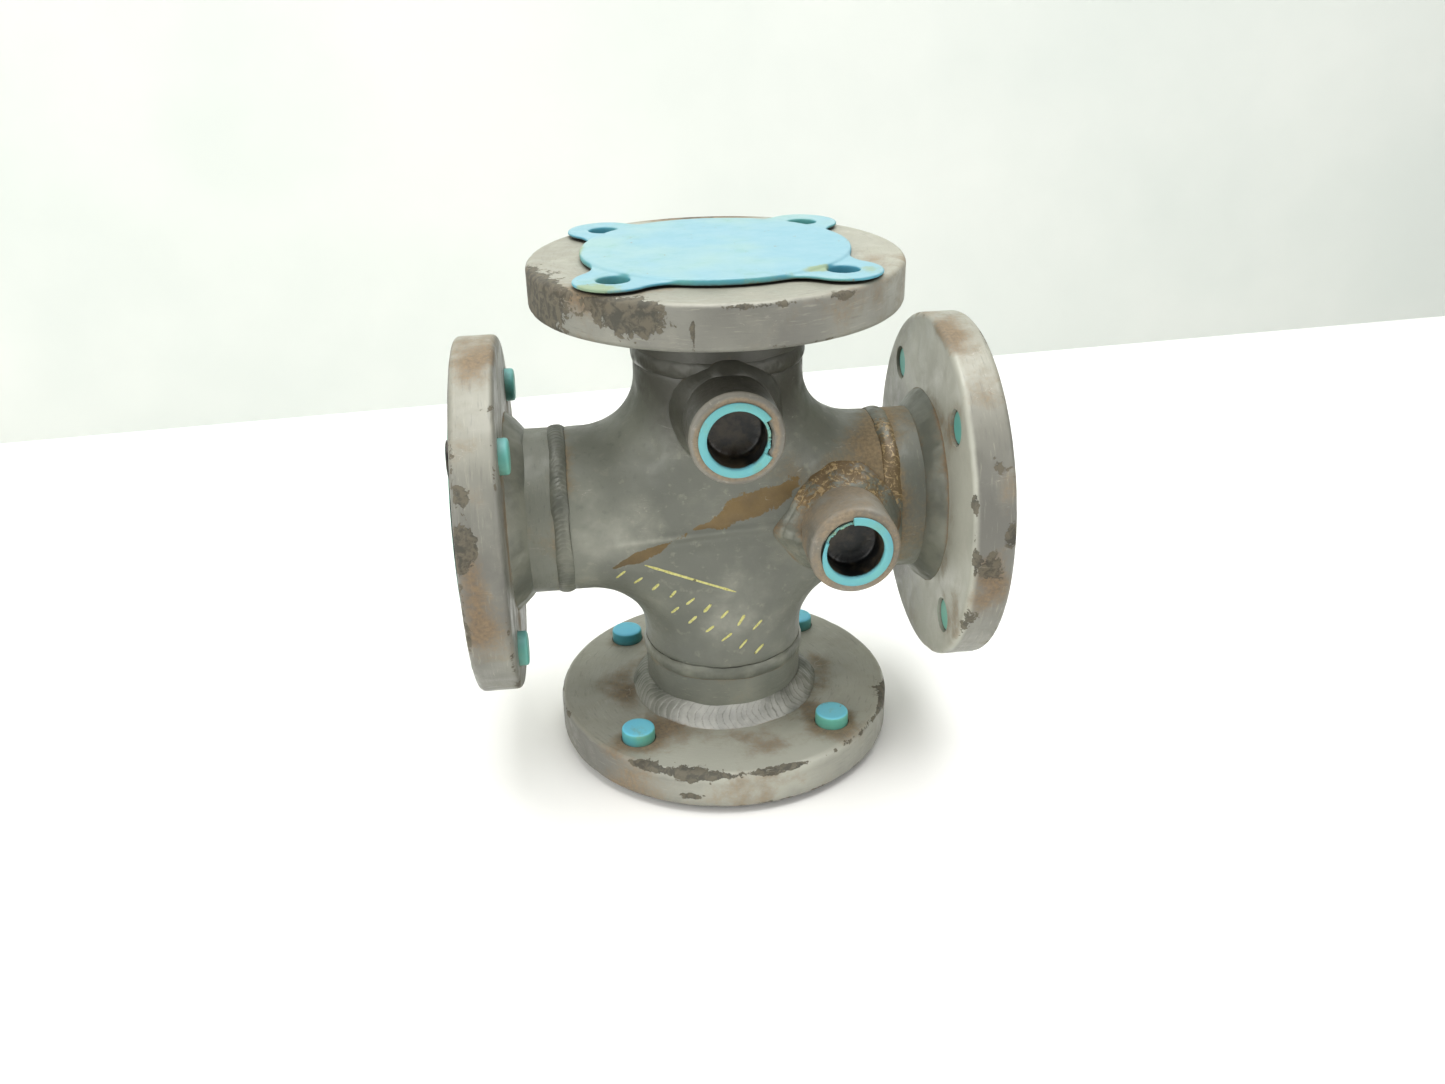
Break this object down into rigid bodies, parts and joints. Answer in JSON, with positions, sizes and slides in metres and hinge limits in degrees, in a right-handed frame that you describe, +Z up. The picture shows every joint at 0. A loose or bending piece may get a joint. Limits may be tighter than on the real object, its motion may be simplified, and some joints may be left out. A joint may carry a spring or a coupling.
{
  "type": "flanged pipe cross",
  "caption": "Welded flanged pipe cross with threaded side couplings, plastic flange covers and push-in thread plugs; joins crossing pipe runs.",
  "frame": {"origin": "middle of the bottom cover's outer face, which the object stands on", "axes": "+Z up along the upright run, +X along the level run to the right arm, -Y the front, where the threaded couplings point"},
  "size_m": [0.2786, 0.1904, 0.2808],
  "materials": {
    "grey_paint": "worn satin grey paint with rust at its chips",
    "weld_metal": "rippled weld beads, painted over in thin grey",
    "blue_plastic": "semi-matte sky-blue moulded plastic"
  },
  "bodies": {
    "cover_bottom": {"flange_cover_bottom": "blue_plastic"},
    "welded_cross": {"cross_fitting": "grey_paint", "pipe_stub_top": "grey_paint", "pipe_stub_right": "grey_paint", "pipe_stub_bottom": "grey_paint", "pipe_stub_left": "grey_paint", "flange_top": "grey_paint", "flange_right": "grey_paint", "flange_bottom": "grey_paint", "flange_left": "grey_paint", "butt_weld_top": "weld_metal", "butt_weld_right": "weld_metal", "butt_weld_bottom": "weld_metal", "butt_weld_left": "weld_metal", "flange_weld_top": "weld_metal", "flange_weld_right": "weld_metal", "flange_weld_bottom": "weld_metal", "flange_weld_left": "weld_metal", "seal_weld_top": "weld_metal", "seal_weld_right": "weld_metal", "seal_weld_bottom": "weld_metal", "seal_weld_left": "weld_metal", "half_coupling_upper": "grey_paint", "half_coupling_side": "grey_paint", "coupling_weld_upper": "weld_metal", "coupling_weld_side": "weld_metal"},
    "cover_top": {"flange_cover_top": "blue_plastic"},
    "cover_right": {"flange_cover_right": "blue_plastic"},
    "cover_left": {"flange_cover_left": "blue_plastic"},
    "plug_upper": {"thread_plug_upper": "blue_plastic"},
    "plug_side": {"thread_plug_side": "blue_plastic"}
  },
  "joints": [
    {"name": "cross_lift", "type": "slide", "parent": "cover_bottom", "child": "welded_cross", "axis": [0, 0, 1], "range_m": [0, 0.06]},
    {"name": "cover_top_pull", "type": "slide", "parent": "welded_cross", "child": "cover_top", "axis": [0, 0, 1], "range_m": [0, 0.06]},
    {"name": "cover_right_pull", "type": "slide", "parent": "welded_cross", "child": "cover_right", "axis": [1, 0, 0], "range_m": [0, 0.06]},
    {"name": "cover_left_pull", "type": "slide", "parent": "welded_cross", "child": "cover_left", "axis": [-1, 0, 0], "range_m": [0, 0.06]},
    {"name": "plug_upper_pull", "type": "slide", "parent": "welded_cross", "child": "plug_upper", "axis": [0, -1, 0], "range_m": [0, 0.04]},
    {"name": "plug_side_pull", "type": "slide", "parent": "welded_cross", "child": "plug_side", "axis": [0, -1, 0], "range_m": [0, 0.04]}
  ]
}
